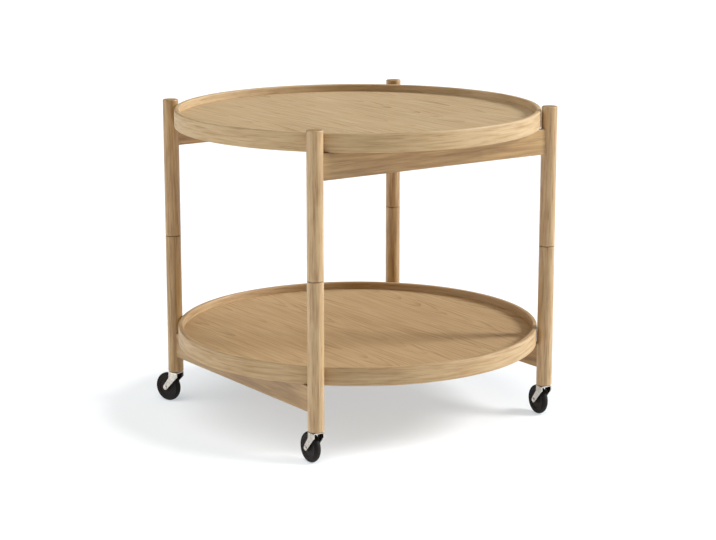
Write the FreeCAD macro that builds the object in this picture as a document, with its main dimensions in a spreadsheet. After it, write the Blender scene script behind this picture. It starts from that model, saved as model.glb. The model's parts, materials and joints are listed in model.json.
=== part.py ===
"""Round two-tier tray table: a folding oak frame on casters that carries two lift-out trays.

Origin on the floor under the middle of the table, +Z up, lengths in millimetres.
The upper rails run along X, the lower rails along Y.
"""

import math
import os
from types import SimpleNamespace

import FreeCAD, Part
import Sketcher

DIMS = {
    # Plan of the frame: the legs stand round the tray, this far from its rim, at this angle from X.
    "tray_leg_gap": 0.6,
    "leg_bearing": 43.0,
    # Legs: round dowels in two halves with a turning seam between them.
    "leg_dia": 28.0,
    "leg_top_ease": 2.0,
    "leg_seam_ease": 0.7,
    "lower_leg_len": 255.0,
    "upper_leg_len": 249.0,
    "seam_gap": 1.0,
    # Rails: flat boards, ends coped to the round legs, with a tenon each end.
    "rail_thick": 12.0,
    "rail_height": 45.0,
    "rail_ease": 1.5,
    "lower_rail_rise": 29.0,
    "upper_rail_drop": 39.0,
    "tenon_thick": 6.0,
    "tenon_shoulder": 7.0,
    "tenon_past_axis": 4.0,
    "mortise_end_room": 1.0,
    # Pivot in every leg.
    "pin_dia": 8.0,
    "pin_set_depth": 30.0,
    "pin_reach": 26.0,
    "bush_dia": 12.0,
    "bush_len": 28.0,
    "pivot_washer_dia": 22.0,
    "running_play": 0.05,
    # Trays.
    "tray_dia": 650.0,
    "rim_height": 32.0,
    "rim_thick": 9.0,
    "rim_ease": 2.5,
    "panel_thick": 5.0,
    "panel_gap": 0.2,
    "tongue_thick": 3.0,
    "tongue_depth": 4.0,
    # Casters.
    "caster_height": 59.5,
    "wheel_dia": 53.0,
    "tyre_width": 13.0,
    "tyre_side_dia": 46.0,
    "tyre_seat_dia": 41.0,
    "tyre_seat_width": 11.0,
    "hub_web": 8.5,
    "hub_rim": 3.0,
    "hub_boss_dia": 12.0,
    "hub_boss_width": 16.8,
    "trail": 18.5,
    "fork_inner": 17.0,
    "fork_sheet": 2.0,
    "fork_bend": 2.6,
    "fork_crown_len": 20.0,
    "fork_front_cheek": 9.0,
    "fork_rear_cheek": 12.0,
    "fork_end_radius": 5.0,
    "fork_front_angle": 223.9,
    "fork_rear_angle": 37.3,
    "socket_dia": 11.0,
    "socket_len": 32.0,
    "socket_flange_dia": 17.0,
    "socket_flange": 0.8,
    "thrust_washer": 0.75,
    "thrust_washer_dia": 15.0,
    "stem_dia": 8.0,
    "stem_len": 30.0,
    "stem_head_dia": 12.0,
    "stem_head": 2.0,
    "axle_dia": 4.0,
    "axle_head_dia": 7.6,
    "axle_head": 1.3,
    # Way each caster trails, in degrees from +X.
    "yaw_left": 110.0,
    "yaw_front": 86.0,
    "yaw_right": 81.0,
    "yaw_back": 105.0,
}

doc = FreeCAD.newDocument("tray_table")
sheet = doc.addObject("Spreadsheet::Sheet", "Sheet")
for row, (alias, number) in enumerate(DIMS.items(), start=1):
    sheet.set(f"A{row}", alias)
    sheet.set(f"B{row}", str(number))
    sheet.setAlias(f"B{row}", alias)
doc.recompute()


class Size:
    """A number together with the sheet expression it comes from."""

    def __init__(self, value, text):
        self.value = float(value)
        self.text = text

    def __add__(self, other):
        other = as_size(other)
        return Size(self.value + other.value, f"({self.text} + {other.text})")

    def __sub__(self, other):
        other = as_size(other)
        return Size(self.value - other.value, f"({self.text} - {other.text})")

    def __mul__(self, other):
        other = as_size(other)
        return Size(self.value * other.value, f"({self.text} * {other.text})")

    def __truediv__(self, other):
        other = as_size(other)
        return Size(self.value / other.value, f"({self.text} / {other.text})")

    def __neg__(self):
        return Size(-self.value, f"(0 - {self.text})")

    def cos(self):
        return Size(math.cos(math.radians(self.value)), f"cos({self.text} * 1 deg)")

    def sin(self):
        return Size(math.sin(math.radians(self.value)), f"sin({self.text} * 1 deg)")


def as_size(item):
    """Takes a plain number or a Size and gives a Size."""
    return item if isinstance(item, Size) else Size(item, f"({float(item)})")


d = SimpleNamespace(**{alias: Size(number, f"Sheet.{alias}") for alias, number in DIMS.items()})
ZERO = as_size(0.0)
FLAT = FreeCAD.Rotation()
UPRIGHT_XZ = FreeCAD.Rotation(FreeCAD.Vector(1, 0, 0), 90)
UPRIGHT_YZ = FreeCAD.Rotation(FreeCAD.Vector(1, 1, 1), 120)


def bind(obj, path, size):
    """Ties one property to the sheet."""
    size = as_size(size)
    if "Sheet" in size.text:
        obj.setExpression(path, size.text)


def arc_between(start, end, radius, side):
    """Short arc from start to end; side is 1 for a left turn and -1 for a right turn."""
    chord = end - start
    mid = (start + end) * 0.5
    rise = math.sqrt(max(radius * radius - chord.Length * chord.Length / 4.0, 0.0))
    left = FreeCAD.Vector(-chord.y, chord.x, 0).normalize()
    centre = mid + left * (rise * side)
    first, last = (start, end) if side > 0 else (end, start)
    angle_a = math.atan2(first.y - centre.y, first.x - centre.x)
    angle_b = math.atan2(last.y - centre.y, last.x - centre.x)
    circle = Part.Circle(centre, FreeCAD.Vector(0, 0, 1), radius)
    return Part.ArcOfCircle(circle, angle_a, angle_b)


def profile(name, corners, turn=FLAT):
    """Closed outline. A corner is (x, y), or (x, y, radius, side) where an arc leaves it."""
    sketch = doc.addObject("Sketcher::SketchObject", name)
    sketch.Placement = FreeCAD.Placement(FreeCAD.Vector(0, 0, 0), turn)
    spots = [(as_size(c[0]), as_size(c[1])) for c in corners]
    ends = []
    for index, corner in enumerate(corners):
        x0, y0 = spots[index]
        x1, y1 = spots[(index + 1) % len(spots)]
        start = FreeCAD.Vector(x0.value, y0.value, 0)
        end = FreeCAD.Vector(x1.value, y1.value, 0)
        if len(corner) == 4:
            radius, side = corner[2], corner[3]
            geo = sketch.addGeometry(arc_between(start, end, radius.value, side), False)
            ends.append((geo, 1, 2) if side > 0 else (geo, 2, 1))
        else:
            geo = sketch.addGeometry(Part.LineSegment(start, end), False)
            ends.append((geo, 1, 2))
    for index, (geo, first, last) in enumerate(ends):
        after, after_first, _ = ends[(index + 1) % len(ends)]
        sketch.addConstraint(Sketcher.Constraint("Coincident", geo, last, after, after_first))
    for (geo, first, last), (x, y), corner in zip(ends, spots, corners):
        for kind, axis, size in (("DistanceX", -2, x), ("DistanceY", -1, y)):
            if size.value == 0.0:
                sketch.addConstraint(Sketcher.Constraint("PointOnObject", geo, first, axis))
            else:
                place_id = sketch.addConstraint(Sketcher.Constraint(kind, geo, first, size.value))
                bind(sketch, f"Constraints[{place_id}]", size)
        if len(corner) == 4:
            place_id = sketch.addConstraint(Sketcher.Constraint("Radius", geo, corner[2].value))
            bind(sketch, f"Constraints[{place_id}]", corner[2])
    return sketch


def turned(name, sketch, axis):
    """Solid of revolution about an axis through the local origin."""
    solid = doc.addObject("Part::Revolution", name)
    solid.Source = sketch
    solid.Axis = FreeCAD.Vector(*axis)
    solid.Base = FreeCAD.Vector(0, 0, 0)
    solid.Angle = 360.0
    solid.Solid = True
    return solid


def drawn_out(name, sketch, axis, length):
    """Prism, the same distance to both sides of the outline."""
    solid = doc.addObject("Part::Extrusion", name)
    solid.Base = sketch
    solid.DirMode = "Custom"
    solid.Dir = FreeCAD.Vector(*axis)
    solid.LengthFwd = length.value
    bind(solid, "LengthFwd", length)
    solid.Symmetric = True
    solid.Solid = True
    return solid


def cylinder(name, radius, low, high, x=ZERO, along_y=False):
    """Cylinder about local Z, or about local Y and centred on it."""
    solid = doc.addObject("Part::Cylinder", name)
    low, high, x = as_size(low), as_size(high), as_size(x)
    solid.Radius = radius.value
    bind(solid, "Radius", radius)
    span = high - low
    solid.Height = span.value
    bind(solid, "Height", span)
    if along_y:
        solid.Placement = FreeCAD.Placement(
            FreeCAD.Vector(0, 0, 0), FreeCAD.Rotation(FreeCAD.Vector(1, 0, 0), -90))
        bind(solid, "Placement.Base.y", low)
    else:
        bind(solid, "Placement.Base.z", low)
        solid.Placement.Base.z = low.value
    bind(solid, "Placement.Base.x", x)
    return solid


def block(name, xs, ys, zs):
    """Box between two limits on each axis."""
    solid = doc.addObject("Part::Box", name)
    sides = (("Length", "x", xs), ("Width", "y", ys), ("Height", "z", zs))
    for side, axis, (low, high) in sides:
        low, high = as_size(low), as_size(high)
        span = high - low
        setattr(solid, side, span.value)
        bind(solid, side, span)
        bind(solid, f"Placement.Base.{axis}", low)
    return solid


def without(name, base, *tools):
    """Base with the tools taken away."""
    solid = doc.addObject("Part::Cut", name)
    solid.Base = base
    if len(tools) == 1:
        solid.Tool = tools[0]
    else:
        solid.Tool = joined(f"{name}_tools", *tools)
    return solid


def joined(name, *solids):
    """Several solids made one."""
    whole = doc.addObject("Part::MultiFuse", name)
    whole.Shapes = list(solids)
    return whole


def shared(name, first, second):
    """What two solids have in common."""
    solid = doc.addObject("Part::Common", name)
    solid.Base = first
    solid.Tool = second
    return solid


PIECES = []


def place(obj, label, x=ZERO, y=ZERO, z=ZERO, yaw=ZERO):
    """Names a finished piece and sets it in the table."""
    x, y, z, yaw = (as_size(item) for item in (x, y, z, yaw))
    turn = FreeCAD.Rotation(FreeCAD.Vector(0, 0, 1), yaw.value)
    obj.Placement = FreeCAD.Placement(FreeCAD.Vector(x.value, y.value, z.value), turn)
    for axis, size in (("x", x), ("y", y), ("z", z)):
        bind(obj, f"Placement.Base.{axis}", size)
    obj.Label = label
    PIECES.append(obj)


# Heights of the stack.
leg_r = d.leg_dia / 2
leg_ring = d.tray_dia / 2 + d.tray_leg_gap + leg_r
half_x = leg_ring * d.leg_bearing.cos()
half_y = leg_ring * d.leg_bearing.sin()
seam_low = d.caster_height + d.lower_leg_len
seam_high = seam_low + d.seam_gap
leg_top = seam_high + d.upper_leg_len
lower_rail_z = d.caster_height + d.lower_rail_rise
upper_rail_z = leg_top - d.upper_rail_drop - d.rail_height
tenon_low = d.tenon_shoulder
tenon_high = d.rail_height - d.tenon_shoulder
tenon_t = d.tenon_thick / 2

# Where each leg stands, and the way its upper and its lower rail leave it.
LEGS = {
    "front": (-half_x, -half_y, 0, 90, d.yaw_front),
    "right": (half_x, -half_y, 180, 90, d.yaw_right),
    "back": (half_x, half_y, 180, 270, d.yaw_back),
    "left": (-half_x, half_y, 0, 270, d.yaw_left),
}

# Rails.
ease = d.rail_ease
rail_w = d.rail_thick / 2
rail_outline = profile("rail_outline", [
    (rail_w, ease),
    (rail_w, d.rail_height - ease, ease, 1),
    (rail_w - ease, d.rail_height),
    (ease - rail_w, d.rail_height, ease, 1),
    (-rail_w, d.rail_height - ease),
    (-rail_w, ease, ease, 1),
    (ease - rail_w, ZERO),
    (rail_w - ease, ZERO, ease, 1),
], UPRIGHT_YZ)
rail_sets = (
    ("upper_rail", half_x * 2, (("front", ZERO, -half_y), ("back", ZERO, half_y)), 0, upper_rail_z),
    ("lower_rail", half_y * 2, (("left", -half_x, ZERO), ("right", half_x, ZERO)), 90, lower_rail_z),
)
for kind, span, sides, yaw, height in rail_sets:
    board = drawn_out(f"{kind}_board", rail_outline, (1, 0, 0), span)
    cope_a = cylinder(f"{kind}_cope_a", leg_r, -1, d.rail_height + 1, -span / 2)
    cope_b = cylinder(f"{kind}_cope_b", leg_r, -1, d.rail_height + 1, span / 2)
    coped = without(f"{kind}_coped", board, cope_a, cope_b)
    reach = span / 2 + d.tenon_past_axis
    tenon = block(f"{kind}_tenon", (-reach, reach), (-tenon_t, tenon_t), (tenon_low, tenon_high))
    for side, x, y in sides:
        place(joined(f"{kind}_{side}", coped, tenon), f"{kind}_{side}", x, y, height, yaw)

# Legs: the lower half takes the pivot pin and the caster socket, the upper half the bush.
seam = d.leg_seam_ease
lower_outline = profile("lower_leg_outline", [
    (ZERO, ZERO),
    (leg_r - seam, ZERO),
    (leg_r, seam),
    (leg_r, d.lower_leg_len - seam),
    (leg_r - seam, d.lower_leg_len),
    (ZERO, d.lower_leg_len),
], UPRIGHT_XZ)
upper_outline = profile("upper_leg_outline", [
    (ZERO, ZERO),
    (leg_r - seam, ZERO),
    (leg_r, seam),
    (leg_r, d.upper_leg_len - d.leg_top_ease, d.leg_top_ease, 1),
    (leg_r - d.leg_top_ease, d.upper_leg_len),
    (ZERO, d.upper_leg_len),
], UPRIGHT_XZ)
lower_dowel = turned("lower_dowel", lower_outline, (0, 0, 1))
upper_dowel = turned("upper_dowel", upper_outline, (0, 0, 1))
mortise_x = (-(d.tenon_past_axis + d.mortise_end_room), leg_r + 1)
mortise_y = (-tenon_t, tenon_t)
lower_mortise = block("lower_mortise", mortise_x, mortise_y,
                      (d.lower_rail_rise + tenon_low, d.lower_rail_rise + tenon_high))
upper_rail_rise = d.upper_leg_len - d.upper_rail_drop - d.rail_height
upper_mortise = block("upper_mortise", mortise_x, mortise_y,
                      (upper_rail_rise + tenon_low, upper_rail_rise + tenon_high))
pin_hole = cylinder("pin_hole", d.pin_dia / 2, d.lower_leg_len - d.pin_set_depth, d.lower_leg_len + 1)
socket_hole = cylinder("socket_hole", d.socket_dia / 2, -1, d.socket_len)
bush_hole = cylinder("bush_hole", d.bush_dia / 2, -1, d.bush_len)
lower_cuts = joined("lower_leg_cuts", lower_mortise, pin_hole, socket_hole)
upper_cuts = joined("upper_leg_cuts", upper_mortise, bush_hole)
for side, (x, y, upper_way, lower_way, _) in LEGS.items():
    place(without(f"lower_leg_{side}", lower_dowel, lower_cuts),
          f"lower_leg_{side}", x, y, d.caster_height, lower_way)
    place(without(f"upper_leg_{side}", upper_dowel, upper_cuts),
          f"upper_leg_{side}", x, y, seam_high, upper_way)

# Pivots: pin fast in the lower half, bush fast in the upper half, washer in the seam.
pin_r = d.pin_dia / 2
bore_r = pin_r + d.running_play
pin_top = d.seam_gap + d.pin_reach
pin_ease = Size(0.6, "(0.6)")
pin_outline = profile("pin_outline", [
    (ZERO, -d.pin_set_depth),
    (pin_r, -d.pin_set_depth),
    (pin_r, pin_top - pin_ease),
    (pin_r - pin_ease, pin_top),
    (ZERO, pin_top),
], UPRIGHT_XZ)
bush_outline = profile("bush_outline", [
    (bore_r, ZERO),
    (d.bush_dia / 2, ZERO),
    (d.bush_dia / 2, d.bush_len),
    (bore_r, d.bush_len),
], UPRIGHT_XZ)
washer_top = d.seam_gap - d.running_play
washer_outline = profile("pivot_washer_outline", [
    (pin_r, ZERO),
    (d.pivot_washer_dia / 2, ZERO),
    (d.pivot_washer_dia / 2, washer_top),
    (pin_r, washer_top),
], UPRIGHT_XZ)
for side, (x, y, _, _, _) in LEGS.items():
    place(turned(f"pivot_pin_{side}", pin_outline, (0, 0, 1)), f"pivot_pin_{side}", x, y, seam_low)
    place(turned(f"pivot_bush_{side}", bush_outline, (0, 0, 1)), f"pivot_bush_{side}", x, y, seam_high)
    place(turned(f"pivot_washer_{side}", washer_outline, (0, 0, 1)),
          f"pivot_washer_{side}", x, y, seam_low)

# Trays: a bent rim with the panel let into a groove half-way up.
rim_out = d.tray_dia / 2
rim_in = rim_out - d.rim_thick
rim_e = d.rim_ease
groove_r = rim_in + d.tongue_depth
mid_z = d.rim_height / 2
tongue_lo = mid_z - d.tongue_thick / 2
tongue_hi = mid_z + d.tongue_thick / 2
panel_lo = mid_z - d.panel_thick / 2
panel_hi = mid_z + d.panel_thick / 2
panel_r = rim_in - d.panel_gap
rim_outline = profile("rim_outline", [
    (rim_out - rim_e, ZERO, rim_e, 1),
    (rim_out, rim_e),
    (rim_out, d.rim_height - rim_e, rim_e, 1),
    (rim_out - rim_e, d.rim_height),
    (rim_in + rim_e, d.rim_height, rim_e, 1),
    (rim_in, d.rim_height - rim_e),
    (rim_in, tongue_hi),
    (groove_r, tongue_hi),
    (groove_r, tongue_lo),
    (rim_in, tongue_lo),
    (rim_in, rim_e, rim_e, 1),
    (rim_in + rim_e, ZERO),
], UPRIGHT_XZ)
panel_outline = profile("panel_outline", [
    (ZERO, panel_lo),
    (panel_r, panel_lo),
    (panel_r, tongue_lo),
    (groove_r, tongue_lo),
    (groove_r, tongue_hi),
    (panel_r, tongue_hi),
    (panel_r, panel_hi),
    (ZERO, panel_hi),
], UPRIGHT_XZ)
tray_stands = (("upper", upper_rail_z + d.rail_height), ("lower", lower_rail_z + d.rail_height))
for tier, height in tray_stands:
    place(turned(f"{tier}_tray_rim", rim_outline, (0, 0, 1)), f"{tier}_tray_rim", z=height)
    place(turned(f"{tier}_tray_panel", panel_outline, (0, 0, 1)), f"{tier}_tray_panel", z=height)

# Casters, drawn with the leg axis on local Z and the wheel behind it on local +X.
stem_r = d.stem_dia / 2
socket_bore = stem_r + d.running_play
flange_low = d.caster_height - d.socket_flange
washer_high = flange_low - d.running_play
crown_high = washer_high - d.thrust_washer
crown_low = crown_high - d.fork_sheet
axle_z = d.wheel_dia / 2
socket_outline = profile("socket_outline", [
    (socket_bore, flange_low),
    (d.socket_flange_dia / 2, flange_low),
    (d.socket_flange_dia / 2, d.caster_height),
    (d.socket_dia / 2, d.caster_height),
    (d.socket_dia / 2, d.caster_height + d.socket_len),
    (socket_bore, d.caster_height + d.socket_len),
], UPRIGHT_XZ)
stem_top = d.caster_height + d.stem_len
stem_ease = Size(1.0, "(1.0)")
stem_outline = profile("stem_outline", [
    (ZERO, crown_low - d.stem_head),
    (d.stem_head_dia / 2, crown_low - d.stem_head),
    (d.stem_head_dia / 2, crown_low),
    (stem_r, crown_low),
    (stem_r, stem_top - stem_ease),
    (stem_r - stem_ease, stem_top),
    (ZERO, stem_top),
], UPRIGHT_XZ)
thrust_outline = profile("thrust_washer_outline", [
    (stem_r, crown_high),
    (d.thrust_washer_dia / 2, crown_high),
    (d.thrust_washer_dia / 2, washer_high),
    (stem_r, washer_high),
], UPRIGHT_XZ)

# Fork: bent sheet, seen from behind as a U and from the side as a raked cheek.
u_out = d.fork_inner / 2 + d.fork_sheet
u_in = d.fork_inner / 2
bend = d.fork_bend
bend_in = d.fork_bend - d.fork_sheet
u_low = axle_z - d.fork_end_radius - 2
fork_u = profile("fork_u", [
    (u_in, u_low),
    (u_out, u_low),
    (u_out, crown_high - bend, bend, 1),
    (u_out - bend, crown_high),
    (bend - u_out, crown_high, bend, 1),
    (-u_out, crown_high - bend),
    (-u_out, u_low),
    (-u_in, u_low),
    (-u_in, crown_low - bend_in, bend_in, -1),
    (bend_in - u_in, crown_low),
    (u_in - bend_in, crown_low, bend_in, -1),
    (u_in, crown_low - bend_in),
], UPRIGHT_YZ)
crown_half = d.fork_crown_len / 2
front_cheek_z = crown_high - d.fork_front_cheek
rear_cheek_z = crown_high - d.fork_rear_cheek
end_r = d.fork_end_radius
fork_side = profile("fork_side", [
    (-crown_half, front_cheek_z),
    (d.trail + end_r * d.fork_front_angle.cos(),
     axle_z + end_r * d.fork_front_angle.sin(), end_r, 1),
    (d.trail + end_r * d.fork_rear_angle.cos(), axle_z + end_r * d.fork_rear_angle.sin()),
    (crown_half, rear_cheek_z),
    (crown_half, crown_high),
    (-crown_half, crown_high),
], UPRIGHT_XZ)
u_bar = drawn_out("fork_u_bar", fork_u, (1, 0, 0), d.trail * 6)
side_bar = drawn_out("fork_side_bar", fork_side, (0, 1, 0), d.fork_inner * 2)
fork_blank = shared("fork_blank", u_bar, side_bar)
stem_hole = cylinder("fork_stem_hole", stem_r, crown_low - 1, crown_high + 1)
axle_hole = cylinder("fork_axle_hole", d.axle_dia / 2, -d.fork_inner, d.fork_inner, d.trail, True)
axle_hole.Placement.Base.z = axle_z.value
bind(axle_hole, "Placement.Base.z", axle_z)
fork_holes = joined("fork_holes", stem_hole, axle_hole)

# Axle and wheel, turned about local Y.
axle_r = d.axle_dia / 2
head_r = d.axle_head_dia / 2
head_out = u_out + d.axle_head
head_ease = d.axle_head * 0.6
axle_outline = profile("axle_outline", [
    (ZERO, -head_out),
    (head_r - head_ease, -head_out, head_ease, 1),
    (head_r, head_ease - head_out),
    (head_r, -u_out),
    (axle_r, -u_out),
    (axle_r, u_out),
    (head_r, u_out),
    (head_r, head_out - head_ease, head_ease, 1),
    (head_r - head_ease, head_out),
    (ZERO, head_out),
])
hub_bore = axle_r + d.running_play
boss_r = d.hub_boss_dia / 2
boss_w = d.hub_boss_width / 2
web_w = d.hub_web / 2
seat_r = d.tyre_seat_dia / 2
seat_w = d.tyre_seat_width / 2
lip_r = seat_r - d.hub_rim
hub_outline = profile("hub_outline", [
    (hub_bore, -boss_w),
    (boss_r, -boss_w),
    (boss_r, -web_w),
    (lip_r, -web_w),
    (lip_r, -seat_w),
    (seat_r, -seat_w),
    (seat_r, seat_w),
    (lip_r, seat_w),
    (lip_r, web_w),
    (boss_r, web_w),
    (boss_r, boss_w),
    (hub_bore, boss_w),
])
tyre_side = d.tyre_side_dia / 2
tyre_w = d.tyre_width / 2
crown_rise = d.wheel_dia / 2 - tyre_side
crown_r = (tyre_w * tyre_w + crown_rise * crown_rise) / (crown_rise * 2)
tyre_outline = profile("tyre_outline", [
    (seat_r, -seat_w),
    (tyre_side, -tyre_w, crown_r, 1),
    (tyre_side, tyre_w),
    (seat_r, seat_w),
])
for side, (x, y, _, _, yaw) in LEGS.items():
    place(turned(f"caster_socket_{side}", socket_outline, (0, 0, 1)), f"caster_socket_{side}", x, y)
    place(turned(f"caster_stem_{side}", stem_outline, (0, 0, 1)), f"caster_stem_{side}", x, y, yaw=yaw)
    place(turned(f"caster_washer_{side}", thrust_outline, (0, 0, 1)),
          f"caster_washer_{side}", x, y, yaw=yaw)
    place(without(f"caster_fork_{side}", fork_blank, fork_holes), f"caster_fork_{side}", x, y, yaw=yaw)
    wheel_x = x + d.trail * yaw.cos()
    wheel_y = y + d.trail * yaw.sin()
    place(turned(f"caster_axle_{side}", axle_outline, (0, 1, 0)),
          f"caster_axle_{side}", wheel_x, wheel_y, axle_z, yaw)
    place(turned(f"wheel_hub_{side}", hub_outline, (0, 1, 0)),
          f"wheel_hub_{side}", wheel_x, wheel_y, axle_z, yaw)
    place(turned(f"wheel_tyre_{side}", tyre_outline, (0, 1, 0)),
          f"wheel_tyre_{side}", wheel_x, wheel_y, axle_z, yaw)

doc.recompute()

for obj in doc.Objects:
    if "Invalid" in obj.State or "Error" in obj.State:
        raise SystemExit(f"{obj.Name} did not build: {obj.State}")
for obj in PIECES:
    if obj.Shape.isNull() or not obj.Shape.isValid() or len(obj.Shape.Solids) != 1:
        raise SystemExit(f"{obj.Label} is not one sound solid")

os.makedirs("parts", exist_ok=True)
for obj in PIECES:
    obj.Shape.exportStep(os.path.join("parts", obj.Label + ".step"))
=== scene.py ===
"""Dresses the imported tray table: oiled oak frame and trays, nickel casters, rubber wheels."""

import json
import logging
import math
from dataclasses import dataclass
from enum import Enum
from typing import Any, Optional

import bpy
import numpy as np
from bpy.types import Collection, ID, Material, Node, NodeSocket, NodeTree, Object, World
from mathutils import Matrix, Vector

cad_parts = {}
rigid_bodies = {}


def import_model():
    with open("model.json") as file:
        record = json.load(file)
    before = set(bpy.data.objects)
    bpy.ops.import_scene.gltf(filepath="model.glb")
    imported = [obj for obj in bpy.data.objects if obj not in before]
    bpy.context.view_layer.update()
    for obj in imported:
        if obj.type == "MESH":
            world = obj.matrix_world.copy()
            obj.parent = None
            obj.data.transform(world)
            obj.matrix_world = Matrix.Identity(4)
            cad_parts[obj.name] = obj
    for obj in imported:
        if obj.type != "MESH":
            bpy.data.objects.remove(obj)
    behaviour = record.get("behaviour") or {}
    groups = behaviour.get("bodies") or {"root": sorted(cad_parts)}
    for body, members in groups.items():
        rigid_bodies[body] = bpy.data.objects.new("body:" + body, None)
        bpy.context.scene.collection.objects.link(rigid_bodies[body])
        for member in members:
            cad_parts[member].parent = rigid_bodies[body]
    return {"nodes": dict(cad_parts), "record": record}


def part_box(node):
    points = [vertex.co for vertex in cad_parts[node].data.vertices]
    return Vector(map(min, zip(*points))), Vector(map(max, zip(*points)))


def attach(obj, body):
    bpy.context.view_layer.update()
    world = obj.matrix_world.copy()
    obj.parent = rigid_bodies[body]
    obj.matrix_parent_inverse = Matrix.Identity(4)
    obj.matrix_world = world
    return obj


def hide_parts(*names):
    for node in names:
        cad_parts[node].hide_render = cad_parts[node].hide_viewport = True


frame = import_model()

log = logging.getLogger("tray_table")
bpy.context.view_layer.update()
JOINTS = {joint["name"]: joint for joint in frame["record"]["behaviour"]["joints"]}
MM = 0.001
UPRIGHT = np.eye(3)
DOWEL_RADIUS = 14.0 * MM
OIL_IOR = 1.46
# The attribute that holds each face corner's place in the wood.
GRAIN = "grain"
# Edges that turn by more than this stay crisp.
CRISP_DEG = 40.0


class Side(Enum):
    """The four legs, named as the photograph shows them."""

    FRONT = "front"
    RIGHT = "right"
    BACK = "back"
    LEFT = "left"


class Tier(Enum):
    """The two levels, each with its tray and rails."""

    UPPER = "upper"
    LOWER = "lower"


class Fibre(Enum):
    """How the wood's fibres run in a turned piece: along its axis or round it."""

    ALONG = "along"
    ROUND = "round"


def linear(code: str) -> tuple[float, float, float, float]:
    """Turns an sRGB hex colour into linear light.

    Args:
        code: six hex digits after a hash sign.

    Returns:
        Red, green, blue and an alpha of one.
    """
    parts = np.array([int(code[i:i + 2], 16) for i in (1, 3, 5)]) / 255.0
    light = np.where(parts <= 0.04045, parts / 12.92, ((parts + 0.055) / 1.055) ** 2.4)
    return (float(light[0]), float(light[1]), float(light[2]), 1.0)


def per_metre(size_mm: float) -> float:
    """How often a pattern of this size comes again in a metre."""
    return 1.0 / (size_mm * MM)


def feed(node: Node, feeds: dict) -> None:
    """Sets or links the sockets of a shader node.

    Args:
        node: the node.
        feeds: socket name or number to a value, or to a socket that feeds it.
    """
    for key, value in feeds.items():
        if isinstance(value, NodeSocket):
            node.id_data.links.new(value, node.inputs[key])
        else:
            node.inputs[key].default_value = value


def add(tree: NodeTree, kind: str, feeds: Optional[dict] = None, **settings: Any) -> Node:
    """Adds one shader node.

    Args:
        tree: the material's node tree.
        kind: the node's type name, without its first word, ShaderNode.
        feeds: its sockets, as feed takes them.
        **settings: the node's own properties.

    Returns:
        The new node.
    """
    node = tree.nodes.new(f"ShaderNode{kind}")
    for key, value in settings.items():
        setattr(node, key, value)
    feed(node, feeds or {})
    return node


def blank(name: str) -> tuple[Material, NodeTree, Node]:
    """Makes a material that holds only its shader and output.

    Args:
        name: the material's name.

    Returns:
        The material, its node tree and its Principled shader.
    """
    material = bpy.data.materials.new(name)
    material.use_nodes = True
    tree = material.node_tree
    tree.nodes.clear()
    shader = add(tree, "BsdfPrincipled")
    add(tree, "OutputMaterial", {"Surface": shader.outputs["BSDF"]})
    return material, tree, shader


def shade_between(ramp: Node, stops: tuple[tuple[float, str], ...]) -> None:
    """Sets a colour ramp.

    Args:
        ramp: the ramp node.
        stops: place from 0 to 1 and hex colour of each stop, in rising order.
    """
    elements = ramp.color_ramp.elements
    elements[0].position, elements[1].position = stops[0][0], stops[-1][0]
    elements[0].color, elements[1].color = linear(stops[0][1]), linear(stops[-1][1])
    for place, code in stops[1:-1]:
        elements.new(place).color = linear(code)


@dataclass(frozen=True)
class OiledOak:
    """Oiled solid oak, planed, bent or turned: long streaks, darker pores, a low satin shine."""

    name: str
    light: str
    middle: str
    dark: str
    pore: str = "#86643F"
    streak_mm: float = 5.0
    streak_ratio: float = 16.0
    pore_mm: float = 1.6
    pore_ratio: float = 30.0
    pore_share: float = 0.55
    roughness: float = 0.38
    wax: float = 0.35
    wax_roughness: float = 0.28

    def material(self) -> Material:
        """Builds the finish on the grain attribute, whose x runs along the fibres.

        Returns:
            The finished material.
        """
        material, tree, shader = blank(self.name)
        grain = add(tree, "Attribute", attribute_name=GRAIN).outputs["Vector"]
        # Growth layers show as streaks, many times longer than they are wide.
        across = per_metre(self.streak_mm)
        layers = add(tree, "Mapping", {3: (across / self.streak_ratio, across, across), 0: grain})
        streaks = add(tree, "TexNoise", {
            "Vector": layers.outputs[0], "Scale": 1.0, "Detail": 5.0, "Roughness": 0.6, "Distortion": 0.25})
        ramp = add(tree, "ValToRGB", {"Fac": streaks.outputs["Fac"]})
        shade_between(ramp, ((0.30, self.dark), (0.50, self.middle), (0.72, self.light)))
        # The vessels are 0.3 mm wide in life; they are drawn wider here so that they show.
        fine = per_metre(self.pore_mm)
        vessels = add(tree, "Mapping", {3: (fine / self.pore_ratio, fine, fine), 0: grain})
        pores = add(tree, "TexNoise", {"Vector": vessels.outputs[0], "Scale": 1.0, "Detail": 2.0})
        mask = add(tree, "MapRange", {
            "Value": pores.outputs["Fac"], "From Min": 0.56, "From Max": 0.74, "To Max": self.pore_share})
        tone = add(tree, "Mix", {
            0: mask.outputs["Result"], 6: ramp.outputs["Color"], 7: linear(self.pore)}, data_type="RGBA")
        gloss = add(tree, "MapRange", {
            "Value": pores.outputs["Fac"], "From Min": 0.35, "From Max": 0.75,
            "To Min": self.roughness - 0.06, "To Max": self.roughness + 0.14})
        bump = add(tree, "Bump", {
            "Height": mask.outputs["Result"], "Strength": 0.18, "Distance": 0.4 * MM}, invert=True)
        feed(shader, {
            "Base Color": tone.outputs[2], "Roughness": gloss.outputs["Result"],
            "Normal": bump.outputs["Normal"], "IOR": OIL_IOR, "Coat Weight": self.wax,
            "Coat Roughness": self.wax_roughness})
        return material


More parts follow.
